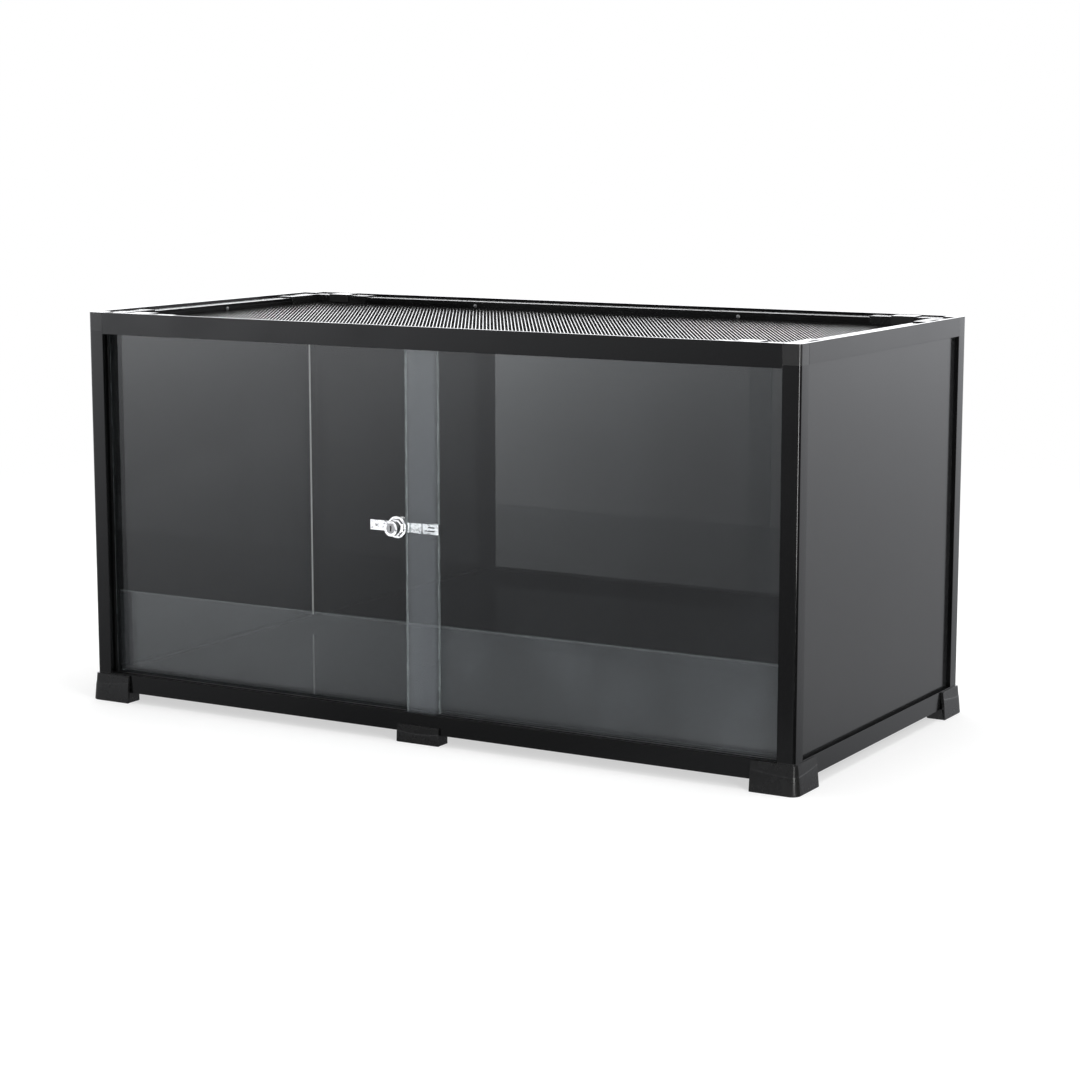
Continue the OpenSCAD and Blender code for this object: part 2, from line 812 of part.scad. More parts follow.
module finger_recess() {
    r = recess_w / 2;
    translate([recess_x, block_y - recess_end, block_top - recess_d]) {
        for (y = [r, recess_len - r])
            translate([0, y - recess_len, 0]) cylinder(r = r, h = recess_d + over);
        translate([-r, r - recess_len, 0]) cube([recess_w, recess_len - recess_w, recess_d + over]);
    }
}

// The cover wraps the block's arm and slides away from the corner
module port_cover(right, rear) {
    x0 = port_x - (cover_w - port_w) / 2;
    y0 = rim_t + lid_clear + cover_in;
    z0 = block_top + part_clear;
    color("#46484c") at_corner(right, rear) {
        translate([x0, y0, z0]) cube([cover_w, flange_reach + part_clear + cover_t - y0, cover_t]);
        translate([x0, flange_reach + part_clear, skirt_z + cover_lift])
            cube([cover_w, cover_t, z0 + cover_t - skirt_z - cover_lift]);
        translate([x0, rail_slot_y + part_clear, block_top - rail_slot_d + part_clear])
            cube([cover_w, rail_slot_w - 2 * part_clear, rail_slot_d + cover_t - part_clear]);
        translate([x0 + cover_w - tab[0], y0, z0]) cube([tab[0], tab[1], tank_h - z0]);
    }
}

sill_rail();
base_rail_rear();
base_rail_side(false);  // base_rail_left
base_rail_side(true);  // base_rail_right
head_rail();
top_rail_rear();
top_rail_side(false);  // top_rail_left
top_rail_side(true);  // top_rail_right
front_post(false);  // post_front_left
front_post(true);  // post_front_right
rear_post(false);  // post_rear_left
rear_post(true);  // post_rear_right
base_corner(false, false);  // base_corner_front_left
base_corner(true, false);  // base_corner_front_right
base_corner(false, true);  // base_corner_rear_left
base_corner(true, true);  // base_corner_rear_right
top_corner(false, false);  // top_corner_front_left
top_corner(true, false);  // top_corner_front_right
top_corner(false, true);  // top_corner_rear_left
top_corner(true, true);  // top_corner_rear_right
corner_foot(false, false);  // foot_front_left
corner_foot(true, false);  // foot_front_right
corner_foot(false, true);  // foot_rear_left
corner_foot(true, true);  // foot_rear_right
middle_foot(false);  // foot_front_middle
middle_foot(true);  // foot_rear_middle
foot_screws();
side_wall(false);  // left_wall
side_wall(true);  // right_wall
rear_wall();
floor_board();
low_front_glass();
lower_track();
upper_track();
left_door();
right_door();
lock_bar();
lock_body();
key_plug();
lock_pawl();
screen_bar_x(false);  // screen_bar_front
screen_bar_x(true);  // screen_bar_rear
screen_bar_y(false);  // screen_bar_left
screen_bar_y(true);  // screen_bar_right
screen_mesh();
mesh_strip_x(false);  // mesh_strip_front
mesh_strip_x(true);  // mesh_strip_rear
mesh_strip_y(false);  // mesh_strip_left
mesh_strip_y(true);  // mesh_strip_right
mesh_rivets();
port_block(false, false);  // port_block_front_left
port_block(true, false);  // port_block_front_right
port_block(false, true);  // port_block_rear_left
port_block(true, true);  // port_block_rear_right
port_cover(false, false);  // port_cover_front_left
port_cover(true, false);  // port_cover_front_right
port_cover(false, true);  // port_cover_rear_left
port_cover(true, true);  // port_cover_rear_right
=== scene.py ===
"""Looks for a sliding-door reptile terrarium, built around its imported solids. Metres, front at -Y."""

import json
import math

import bmesh
import bpy
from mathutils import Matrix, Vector


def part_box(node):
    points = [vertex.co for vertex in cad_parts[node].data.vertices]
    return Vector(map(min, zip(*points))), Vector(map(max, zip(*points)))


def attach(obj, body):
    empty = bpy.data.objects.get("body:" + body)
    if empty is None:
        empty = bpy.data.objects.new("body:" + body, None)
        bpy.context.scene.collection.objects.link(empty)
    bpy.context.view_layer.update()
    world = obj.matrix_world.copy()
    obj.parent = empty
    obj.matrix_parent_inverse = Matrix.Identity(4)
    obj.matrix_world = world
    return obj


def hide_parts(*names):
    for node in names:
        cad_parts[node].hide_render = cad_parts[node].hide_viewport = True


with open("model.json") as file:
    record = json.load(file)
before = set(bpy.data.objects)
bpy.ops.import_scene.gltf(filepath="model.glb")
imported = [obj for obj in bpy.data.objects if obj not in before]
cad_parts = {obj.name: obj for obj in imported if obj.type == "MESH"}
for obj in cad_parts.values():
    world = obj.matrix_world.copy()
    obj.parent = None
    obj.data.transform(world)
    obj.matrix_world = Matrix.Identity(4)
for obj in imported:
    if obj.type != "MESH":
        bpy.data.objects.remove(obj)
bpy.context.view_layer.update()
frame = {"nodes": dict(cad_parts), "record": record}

MM = 0.001
BODY_OF = {
    node: body
    for body, nodes in frame["record"]["behaviour"]["bodies"].items()
    for node in nodes
}
SIDES = {"left": -1, "right": 1}
ENDS = {"front": -1, "rear": 1}
CORNERS = [(end, side) for end in ENDS for side in SIDES]

# The frame bars' outer faces, half a width and half a depth from the tank's middle
FRAME_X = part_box("post_front_right")[1].x
FRAME_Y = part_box("post_rear_right")[1].y


# ---- Finishes: the shorthand ----


class Wire:
    """One socket of a finish. Arithmetic on it adds the Math nodes."""

    def __init__(self, finish, socket):
        self.finish = finish
        self.socket = socket

    def _math(self, operation, first, second):
        return self.finish.node("ShaderNodeMath", {"operation": operation}, {0: first, 1: second})

    def __add__(self, other):
        return self._math("ADD", self, other)

    __radd__ = __add__

    def __sub__(self, other):
        return self._math("SUBTRACT", self, other)

    def __rsub__(self, other):
        return self._math("SUBTRACT", other, self)

    def __mul__(self, other):
        return self._math("MULTIPLY", self, other)

    __rmul__ = __mul__

    def __truediv__(self, other):
        return self._math("DIVIDE", self, other)

    def __rtruediv__(self, other):
        return self._math("DIVIDE", other, self)

    def __pow__(self, other):
        return self._math("POWER", self, other)

    def __rpow__(self, other):
        return self._math("POWER", other, self)


class Finish:
    """A node tree of a material or the world, and the words it is written in."""

    def __init__(self, owner):
        self.owner = owner
        owner.use_nodes = True
        self.tree = owner.node_tree
        self.tree.nodes.clear()

    def node(self, kind, settings=None, inputs=None, out=0):
        """Adds a node. inputs has a value or a wire for each socket that is set."""
        made = self.tree.nodes.new(kind)
        for key, value in (settings or {}).items():
            setattr(made, key, value)
        for key, value in (inputs or {}).items():
            if isinstance(value, Wire):
                self.tree.links.new(value.socket, made.inputs[key])
            else:
                made.inputs[key].default_value = value
        return Wire(self, made.outputs[out]) if made.outputs else None

    def place(self):
        """Where a point lies on the piece, in metres."""
        return self.node("ShaderNodeTexCoord", out="Object")

    def along(self, axis, vector=None):
        """One coordinate of the point's place, or of another vector."""
        return self.node(
            "ShaderNodeSeparateXYZ", inputs={0: vector or self.place()}, out=axis
        )

    def stretched(self, x, y, z):
        """The point's place, for a grain that is drawn out where a factor is under 1."""
        return self.node(
            "ShaderNodeVectorMath", {"operation": "MULTIPLY"}, {0: self.place(), 1: (x, y, z)}
        )

    def grain(self, scale, detail=3.0, rough=0.55, where=None):
        """Soft random values round 0.5, `scale` of them to the metre."""
        return self.node(
            "ShaderNodeTexNoise",
            inputs={
                "Vector": where or self.place(),
                "Scale": scale,
                "Detail": detail,
                "Roughness": rough,
            },
        )

    def between(self, value, low, high, to_low=0.0, to_high=1.0):
        """A smooth step from to_low to to_high as value goes from low to high."""
        return self.node(
            "ShaderNodeMapRange",
            {"interpolation_type": "SMOOTHSTEP"},
            {"Value": value, 1: low, 2: high, 3: to_low, 4: to_high},
        )

    def spread(self, grain, to_low, to_high):
        """A grain, nearly all of which lies from 0.3 to 0.7, spread from to_low to to_high."""
        return self.between(grain, 0.3, 0.7, to_low, to_high)

    def blend(self, amount, first, second):
        """A colour that goes from first to second."""
        return self.node(
            "ShaderNodeMix", {"data_type": "RGBA"}, {0: amount, 6: first, 7: second}, out=2
        )

    def upward(self):
        """1 on faces that look up, and 0 on upright ones."""
        normal = self.node("ShaderNodeNewGeometry", out="Normal")
        return self.between(self.along("Z", normal), 0.6, 0.95)

    def bump(self, height, depth, strength=1.0):
        """A normal that follows a height of `depth` metres."""
        return self.node(
            "ShaderNodeBump", inputs={"Strength": strength, "Distance": depth, "Height": height}
        )

    def leaning(self, height, slope):
        """A normal that follows a height in metres, on faces that lean up by a slope."""
        return self.bump(height - slope * self.along("Z"), 1.0)

    def rays(self):
        """1 for rays that come from the camera, from something shiny, and through glass."""
        kinds = ("Is Camera Ray", "Is Glossy Ray", "Is Transmission Ray")
        return [self.node("ShaderNodeLightPath", out=kind) for kind in kinds]

    def lit(self, colour, strength):
        """A shader that glows by itself."""
        return self.node("ShaderNodeEmission", inputs={"Color": colour, "Strength": strength})

    def clear(self, colour):
        """A shader that lets light straight through."""
        return self.node("ShaderNodeBsdfTransparent", inputs={"Color": colour})

    def mixed(self, amount, first, second):
        """A shader that goes from first to second."""
        return self.node("ShaderNodeMixShader", inputs={0: amount, 1: first, 2: second})

    def surface(self, **inputs):
        """The one shader of an opaque finish."""
        named = {key.replace("_", " "): value for key, value in inputs.items()}
        return self.close(self.node("ShaderNodeBsdfPrincipled", inputs=named))

    def close(self, shader, see_through=False):
        """Ends a material with its shader, and hands the material over."""
        self.node("ShaderNodeOutputMaterial", inputs={"Surface": shader})
        if see_through:
            self.owner.surface_render_method = "BLENDED"
        return self.owner


def new_finish(name):
    return Finish(bpy.data.materials.new(name))


def grey(value, warm=0.0):
    """A grey, which leans to orange where warm is over 0 and to blue where it is under."""
    return (value * (1 + warm), value, value * (1 - warm), 1.0)


WHITE = grey(1)
# The studio as the tank's glossy faces mirror it
COOL_WHITE = (0.965, 0.98, 1.02, 1.0)


# ---- Finishes of the tank ----


def bar_paint():
    """Smooth black paint on an extruded bar, with a trace of orange peel and dust."""
    finish = new_finish("bar_paint")
    peel = finish.grain(700, 2)
    handling = finish.grain(14, 4)
    dust = finish.grain(2400, 2) * finish.upward()
    dusty = finish.between(dust, 0.5, 0.8)
    return finish.surface(
        Base_Color=finish.blend(dusty, grey(0.0028, -0.02), grey(0.02, 0.03)),
        Roughness=finish.between(handling, 0.3, 0.75, 0.12, 0.2) + 0.05 * dust,
        Normal=finish.bump(peel, 0.03 * MM, 0.35),
    )


def bar_ledge_painted_shade():
    """The lower bars' top faces: a darker, duller copy of the bar paint, painted as the shade of the
    joints beside them.
    """
    finish = new_finish("bar_ledge_painted_shade")
    scuff = finish.grain(400, 5, 0.65, finish.stretched(0.2, 0.2, 1))
    return finish.surface(
        Base_Color=finish.blend(scuff, grey(0.0025), grey(0.006)),
        Roughness=finish.spread(scuff, 0.5, 0.65),
        IOR=1.15,
    )


def corner_plastic():
    """Moulded black corner piece, a little duller than the bars, with a fine spark grain."""
    finish = new_finish("corner_plastic")
    spark = finish.grain(2600, 2)
    shade = finish.grain(40, 3)
    return finish.surface(
        Base_Color=finish.blend(shade, grey(0.018), grey(0.026)),
        Roughness=finish.spread(shade, 0.15, 0.22),
        Normal=finish.bump(spark, 0.04 * MM, 0.4),
    )


def foot_plastic():
    """Satin moulded foot, scuffed and dusty near the floor."""
    finish = new_finish("foot_plastic")
    near_floor = finish.between(finish.along("Z"), 0.0, 12 * MM, 1.0, 0.0)
    scuff = finish.between(finish.grain(420, 5, 0.7), 0.5, 0.72) * near_floor
    shade = finish.grain(60, 3)
    clean = finish.blend(shade, grey(0.008), grey(0.013))
    return finish.surface(
        Base_Color=finish.blend(scuff, clean, grey(0.03, 0.02)),
        Roughness=finish.spread(shade, 0.2, 0.3) + 0.2 * scuff,
        Normal=finish.bump(finish.grain(3000, 2), 0.04 * MM, 0.35),
    )


def board_gloss():
    """Mirror-glossy charcoal face of a wall board, with faint wipe marks."""
    finish = new_finish("board_gloss")
    wipe = finish.grain(7, 4, 0.6, finish.stretched(1, 1, 3))
    return finish.surface(
        Base_Color=finish.blend(wipe, grey(0.009, -0.03), grey(0.014, -0.03)),
        Roughness=finish.between(wipe, 0.4, 0.8, 0.0, 0.03),
        IOR=2.3,
    )


def board_floor():
    """The floor board's duller face, rubbed by what stood on it."""
    finish = new_finish("board_floor")
    rub = finish.grain(60, 5, 0.65, finish.stretched(1, 0.7, 1))
    return finish.surface(
        Base_Color=finish.blend(rub, grey(0.009, -0.02), grey(0.013, -0.02)),
        Roughness=finish.between(rub, 0.3, 0.75, 0.03, 0.06),
        IOR=1.45,
    )


def board_satin():
    """Satin back of a board, with a trace of paint texture."""
    finish = new_finish("board_satin")
    cloud = finish.grain(6, 4)
    fleck = finish.grain(1800, 3, 0.6)
    return finish.surface(
        Base_Color=finish.blend(cloud, grey(0.013, -0.03), grey(0.02, -0.03)),
        Roughness=finish.spread(fleck, 0.12, 0.18),
        Normal=finish.bump(fleck, 0.04 * MM, 0.3),
    )


def pane_face(name, mirror_share, haze, rub):
    """Clear float glass: what isn't reflected goes straight through, with a trace of haze.

    The sliding panes are rubbed hazier in the strip where they lie over each other.
    """
    finish = new_finish(name)
    facing = finish.node("ShaderNodeLayerWeight", inputs={"Blend": 0.5}, out="Facing")
    smear = finish.between(finish.grain(7, 5, 0.65, finish.stretched(1, 1, 0.6)), 0.45, 0.85)
    half_strip, soft = 18.5 * MM, 0.2 * MM
    aside = finish.along("X")
    rubbed = finish.between(
        aside * aside, (half_strip - soft) ** 2, (half_strip + soft) ** 2, rub, 0.0
    )
    mirror = mirror_share + (1 - mirror_share) * facing**5
    sheen = finish.node("ShaderNodeBsdfGlossy", inputs={"Color": WHITE, "Roughness": 0.0})
    dull = finish.node("ShaderNodeBsdfDiffuse", inputs={"Color": (0.54, 0.58, 0.64, 1)})
    cloud = haze * (0.5 + smear) + rubbed
    seen = finish.mixed(cloud, finish.clear((0.974, 0.982, 0.98, 1)), dull)
    return finish.close(finish.mixed(mirror, seen, sheen), see_through=True)


def pane_edge():
    """Ground and polished edge of the glass, where its green shows."""
    finish = new_finish("pane_edge")
    ground = finish.grain(900, 3, 0.6, finish.stretched(1, 1, 0.08))
    body = finish.node(
        "ShaderNodeBsdfPrincipled",
        inputs={
            "Base Color": finish.blend(ground, (0.33, 0.37, 0.375, 1), (0.52, 0.575, 0.58, 1)),
            "Roughness": finish.spread(ground, 0.12, 0.3),
            "Normal": finish.bump(ground, 0.05 * MM, 0.5),
        },
    )
    clear = finish.clear((0.84, 0.9, 0.885, 1))
    return finish.close(finish.mixed(0.3 + 0.2 * ground, clear, body), see_through=True)


def seal():
    """Clear sealant bead, milky where it is thick."""
    finish = new_finish("seal")
    milky = finish.grain(500, 3, 0.6)
    return finish.surface(
        Base_Color=finish.blend(milky, grey(0.6), grey(0.78)),
        Roughness=finish.spread(milky, 0.15, 0.3),
        Normal=finish.bump(milky, 0.1 * MM, 0.4),
    )


def track_plastic():
    """Extruded black channel with draw lines along its length."""
    finish = new_finish("track_plastic")
    drawn = finish.grain(900, 3, 0.6, finish.stretched(0.02, 1, 1))
    return finish.surface(
        Base_Color=finish.blend(drawn, grey(0.003), grey(0.007)),
        Roughness=finish.spread(drawn, 0.35, 0.5),
        Normal=finish.bump(drawn, 0.04 * MM, 0.5),
    )


def chrome():
    """Polished lock chrome, a little wavy from stamping, with finger marks and hairlines."""
    finish = new_finish("chrome")
    smudge = finish.between(finish.grain(160, 5, 0.6), 0.45, 0.75)
    hairlines = finish.grain(2500, 3, 0.7, finish.stretched(0.1, 1, 1))
    wave = finish.grain(150, 2, 0.4) + 0.02 * hairlines
    return finish.surface(
        Base_Color=finish.blend(smudge, grey(0.68), grey(0.56, 0.01)),
        Metallic=1.0,
        Roughness=0.05 + 0.08 * smudge,
        Normal=finish.leaning(0.4 * MM * wave, 0.31),
    )


def chrome_turned():
    """The same chrome with the turning marks of the key plug's face."""
    finish = new_finish("chrome_turned")
    rubbed = finish.grain(1100, 4, 0.7)
    return finish.surface(
        Base_Color=finish.blend(rubbed, grey(0.5), grey(0.62)),
        Metallic=1.0,
        Roughness=finish.spread(rubbed, 0.12, 0.22),
        Normal=finish.leaning(0.01 * MM * rubbed, 0.27),
    )


def lock_painted_shade():
    """Nearly black chrome painted as shade: the inside of the key slot, the round of the lock's neck,
    and the bar's sunk face and teeth flanks.
    """
    finish = new_finish("lock_painted_shade")
    shade_mottle = finish.grain(900, 3)
    return finish.surface(
        Base_Color=finish.blend(shade_mottle, grey(0.003), grey(0.008)), Roughness=0.5 + 0.2 * shade_mottle
    )


def zinc():
    """Dull plated steel of the screws and the pawl."""
    finish = new_finish("zinc")
    spangle = finish.grain(700, 3, 0.6)
    return finish.surface(
        Base_Color=finish.blend(spangle, grey(0.36), grey(0.5, 0.02)),
        Metallic=1.0,
        Roughness=finish.spread(spangle, 0.25, 0.4),
        Normal=finish.bump(spangle, 0.03 * MM, 0.3),
    )


def screen_paint(name, smoothest, roughest):
    """Black stoving paint of the screen top's bars and strips, with dust on top."""
    finish = new_finish(name)
    flow = finish.grain(300, 2)
    dust = finish.grain(2600, 2) * finish.upward()
    dusty = finish.between(dust, 0.52, 0.8)
    return finish.surface(
        Base_Color=finish.blend(dusty, grey(0.003), grey(0.012, 0.03)),
        Roughness=finish.spread(flow, smoothest, roughest) + 0.05 * dust,
        Normal=finish.bump(flow, 0.01 * MM, 0.3),
    )


def mesh_coat():
    """Black dipped steel mesh with thin glossy spots along its strands."""
    finish = new_finish("mesh_coat")
    dip = finish.grain(420, 3, 0.6)
    return finish.surface(
        Base_Color=finish.blend(dip, grey(0.006), grey(0.014)),
        Roughness=finish.spread(dip, 0.14, 0.24),
        Normal=finish.bump(dip, 0.1 * MM, 0.35),
    )


def mesh_under_shaded_coat():
    """The thin under strands: a darker, duller copy of the mesh coat, painted as the shade they lie in.
    """
    finish = new_finish("mesh_under_shaded_coat")
    dip = finish.grain(600, 4, 0.6)
    return finish.surface(
        Base_Color=finish.blend(dip, grey(0.004), grey(0.009)),
        Roughness=finish.spread(dip, 0.45, 0.6),
        IOR=1.35,
    )


def rivet_metal():
    """Bare aluminium rivet heads."""
    finish = new_finish("rivet_metal")
    worn = finish.grain(1500, 3, 0.6)
    return finish.surface(
        Base_Color=finish.blend(worn, grey(0.3), grey(0.45)),
        Metallic=1.0,
        Roughness=finish.spread(worn, 0.25, 0.4),
    )


def port_plastic():
    """Moulded block, satin black with a fine grain."""
    finish = new_finish("port_plastic")
    spark = finish.grain(3200, 2)
    shade = finish.grain(50, 3)
    return finish.surface(
        Base_Color=finish.blend(shade, grey(0.008), grey(0.014)),
        Roughness=finish.spread(shade, 0.22, 0.32),
        Normal=finish.bump(spark, 0.03 * MM, 0.35),
    )


def cover_plastic():
    """Sliding cover, a shade greyer and smoother than its block."""
    finish = new_finish("cover_plastic")
    rub = finish.grain(260, 4, 0.6, finish.stretched(0.15, 1, 1))
    return finish.surface(
        Base_Color=finish.blend(rub, grey(0.022), grey(0.034)),
        Roughness=finish.spread(rub, 0.14, 0.26),
        Normal=finish.bump(finish.grain(3000, 2), 0.03 * MM, 0.25),
    )


# ---- Shapes: the shorthand ----

# Points of a solid that lie closer than this are one point
WELD = 0.002 * MM
# Faces of a solid that meet flatter than this are one face
FLAT_ANGLE = math.radians(0.6)
# Edges sharper than these are rounded, and shaded as edges
ROUNDED_ANGLE = math.radians(28)
CREASE_ANGLE = math.radians(32)
# An edge is rounded where its neighbours are longer than this many widths of the rounding
ROOM_TO_ROUND = 2.1
# A face looks a given way, or stands edge-on to it, where the cosine of the angle between
# its normal and that way is more than the first of these, or less than the second
SQUARE_ON = 0.9
EDGE_ON = 0.5


class Form:
    """Closed shells gathered into one mesh. A face's mark is which of the finishes it takes."""

    def __init__(self):
        self.points = []
        self.faces = []
        self.marks = []

    def loft(self, rings, side=0, cap=0, closed=False):
        """Skins a row of rings, and caps its ends unless the row closes on itself."""
        size = len(rings[0])
        starts = [len(self.points) + size * i for i in range(len(rings))]
        for ring in rings:
            self.points += [tuple(point) for point in ring]
        pairs = list(zip(starts, starts[1:]))
        if closed:
            pairs.append((starts[-1], starts[0]))
        for near, far in pairs:
            for k in range(size):
                after = (k + 1) % size
                self.faces.append([near + k, near + after, far + after, far + k])
                self.marks.append(side)
        if not closed:
            self.faces.append([starts[0] + k for k in reversed(range(size))])
            self.faces.append([starts[-1] + k for k in range(size)])
            self.marks += [cap, cap]
        return self

    def moved(self, change):
        """Takes every point through a change."""
        self.points = [tuple(change(Vector(point))) for point in self.points]
        return self


def make(name, form, finishes, node, stands_for_it=True):
    """A piece that rides with a CAD node, and stands for it unless it is only trim."""
    mesh = bpy.data.meshes.new(name)
    mesh.from_pydata(form.points, [], form.faces)
    for finish in finishes:
        mesh.materials.append(finish)
    for face, mark in zip(mesh.polygons, form.marks):
        face.material_index = mark
    shell = bmesh.new()
    shell.from_mesh(mesh)
    bmesh.ops.recalc_face_normals(shell, faces=shell.faces)
    shell.to_mesh(mesh)
    shell.free()
    mesh.shade_smooth()
    mesh.set_sharp_from_angle(angle=CREASE_ANGLE)
    piece = bpy.data.objects.new(name, mesh)
    bpy.context.scene.collection.objects.link(piece)
    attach(piece, BODY_OF[node])
    if stands_for_it:
        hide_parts(node)
    return piece


def soften(piece, width):
    """Rounds the piece's sharp edges, except beside steps too small to take it."""
    mesh = piece.data
    shell = bmesh.new()
    shell.from_mesh(mesh)
    weight = shell.edges.layers.float.new("bevel_weight_edge")
    for edge in shell.edges:
        sharp = len(edge.link_faces) == 2 and edge.calc_face_angle() > ROUNDED_ANGLE
        near = [other for vert in edge.verts for other in vert.link_edges]
        roomy = min(other.calc_length() for other in near) > ROOM_TO_ROUND * width
        edge[weight] = 1.0 if sharp and roomy else 0.0
        edge.smooth = not sharp or roomy
    shell.to_mesh(mesh)
    shell.free()
    bevel = piece.modifiers.new("edge", "BEVEL")
    bevel.limit_method = "WEIGHT"
    bevel.width = width
    bevel.segments = 2
    bevel.harden_normals = True
    return piece


def dress(node, finishes, edge, mark=lambda centre, normal: 0):
    """A piece with a CAD node's own shape, its flats made whole and its edges rounded.

    mark gives a face's mark from its centre and its normal.
    """
    shell = bmesh.new()
    shell.from_mesh(frame["nodes"][node].data)
    bmesh.ops.remove_doubles(shell, verts=shell.verts, dist=WELD)
    bmesh.ops.dissolve_limit(
        shell, angle_limit=FLAT_ANGLE, verts=shell.verts, edges=shell.edges
    )
    shell.verts.index_update()
    form = Form()
    form.points = [tuple(vert.co) for vert in shell.verts]
    form.faces = [[vert.index for vert in face.verts] for face in shell.faces]
    form.marks = [mark(face.calc_center_median(), face.normal) for face in shell.faces]
    shell.free()
    return soften(make(node + "_made", form, finishes, node), edge)


def rounded_outline(low, high, radii, steps=4):
    """Points round a rectangle. radii is one number, or one for each corner in turn.

    The corners come high-high, low-high, low-low and high-low.
    """
    if not isinstance(radii, tuple):
        radii = (radii,) * 4
    middle_x, middle_y = (low[0] + high[0]) / 2, (low[1] + high[1]) / 2
    corners = ((high[0], high[1]), (low[0], high[1]), (low[0], low[1]), (high[0], low[1]))
    points = []
    for turn, ((x, y), radius) in enumerate(zip(corners, radii)):
        hub_x = x - math.copysign(radius, x - middle_x)
        hub_y = y - math.copysign(radius, y - middle_y)
        for k in range(steps + 1):
            angle = math.radians(90 * (turn + k / steps))
            points.append((hub_x + radius * math.cos(angle), hub_y + radius * math.sin(angle)))
    return points


def circle(radius, count):
    """Points round a circle."""
    angles = [2 * math.pi * k / count for k in range(count)]
    return [(radius * math.cos(angle), radius * math.sin(angle)) for angle in angles]


# ---- The tank ----


def build_frame():
    """Bars, posts and corner pieces. The lower bars' top faces take a darker, duller ledge finish as
    painted shade.
    """
    paint, scuffed, plastic = bar_paint(), bar_ledge_painted_shade(), corner_plastic()
    for node in ("sill_rail", "base_rail_left", "base_rail_right", "base_rail_rear"):
        # Upward faces take the ledge finish, painted shade for the joints beside them.
        dress(
            node, [paint, scuffed], 0.35 * MM,
            lambda centre, normal: 1 if normal.z > SQUARE_ON else 0,
        )
    upper = ["head_rail", "top_rail_left", "top_rail_right", "top_rail_rear"]
    for node in upper + [f"post_{end}_{side}" for end, side in CORNERS]:
        dress(node, [paint], 0.35 * MM)
    for end, side in CORNERS:
        for level in ("base", "top"):
            dress(f"{level}_corner_{end}_{side}", [plastic], 0.55 * MM)


def build_boards():
    """The boards are glossy on the face that looks into the tank, and satin elsewhere."""
    gloss, satin, duller = board_gloss(), board_satin(), board_floor()
    inner_faces = {
        "left_wall": (Vector((1, 0, 0)), gloss),
        "right_wall": (Vector((-1, 0, 0)), gloss),
        "rear_wall": (Vector((0, -1, 0)), gloss),
        "floor_board": (Vector((0, 0, 1)), duller),
    }
    for node, (inward, finish) in inner_faces.items():
        dress(
            node, [finish, satin], 0.25 * MM,
            lambda centre, normal: 0 if normal.dot(inward) > SQUARE_ON else 1,
        )


def build_seal_beads():
    """A bead up each rear corner, where a wall board meets the rear post."""
    clear = seal()
    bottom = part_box("floor_board")[1].z
    post_low, post_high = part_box("post_rear_left")
    wall_x = -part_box("left_wall")[1].x
    # The bead's section in mm: how far in from the wall's face, and how far behind the post's
    section = ((1.5, 0.02), (-0.3, 0.02), (-0.3, -1.2), (0.1, -1.3), (0.9, -0.9), (1.4, -0.3))
    for side, sign in SIDES.items():
        form = Form().loft([
            [(sign * (wall_x - inward * MM), post_low.y + back * MM, z) for inward, back in section]
            for z in (bottom, post_high.z)
        ])
        make(
            f"seal_bead_{side}", form, [clear], f"{side}_wall", stands_for_it=False
        )


def build_sliding_pane(node, finishes, radius, bevel):
    """A glass pane with rounded corners and ground, polished edges all round."""
    low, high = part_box(node)
    rings = []
    for y, inset in ((low.y, bevel), (low.y + bevel, 0), (high.y - bevel, 0), (high.y, bevel)):
        outline = rounded_outline(
            (low.x + inset, low.z + inset), (high.x - inset, high.z - inset), radius
        )
        rings.append([(x, y, z) for x, z in outline])
    form = Form().loft(rings, side=1, cap=0)
    return make(node + "_pane", form, finishes, node)


def build_glass():
    """Two sliding panes, and the low pane, which keeps its stepped CAD outline."""
    edge = pane_edge()
    sliding = pane_face("pane_sliding", mirror_share=0.05, haze=0.009, rub=0.051)
    for side in SIDES:
        build_sliding_pane(f"{side}_door", [sliding, edge], radius=1.5 * MM, bevel=0.5 * MM)
    fixed = pane_face("pane_fixed", mirror_share=0.088, haze=0.058, rub=0.0)
    dress(
        "low_front_glass", [fixed, edge], 0.4 * MM,
        lambda centre, normal: 0 if abs(normal.y) > SQUARE_ON else 1,
    )


def build_tracks():
    plastic = track_plastic()
    for node in ("lower_track", "upper_track"):
        dress(node, [plastic], 0.2 * MM)


# ---- Lock ----


def build_collar(bright):
    """An eight-sided collar behind the lock's neck, wide enough for a spanner."""
    low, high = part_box("key_plug")
    middle = (low + high) / 2
    front = low.y + 9.2 * MM
    bore, half_across_flats, thick, chamfer = 7.0 * MM, 9.3 * MM, 2.9 * MM, 0.6 * MM
    count = 64
    rings = []
    for k in range(count):
        turn = 360 * k / count
        off_flat = (turn + 22.5) % 45 - 22.5
        reach = half_across_flats / math.cos(math.radians(off_flat))
        aside, up = math.cos(math.radians(turn)), math.sin(math.radians(turn))
        section = (
            (bore, 0), (reach - chamfer, 0), (reach, chamfer), (reach, thick), (bore, thick),
        )
        rings.append([
            (middle.x + radius * aside, front + depth, middle.z + radius * up)
            for radius, depth in section
        ])
    form = Form().loft(rings, closed=True)
    return make(
        "lock_collar", form, [bright], "lock_body", stands_for_it=False
    )


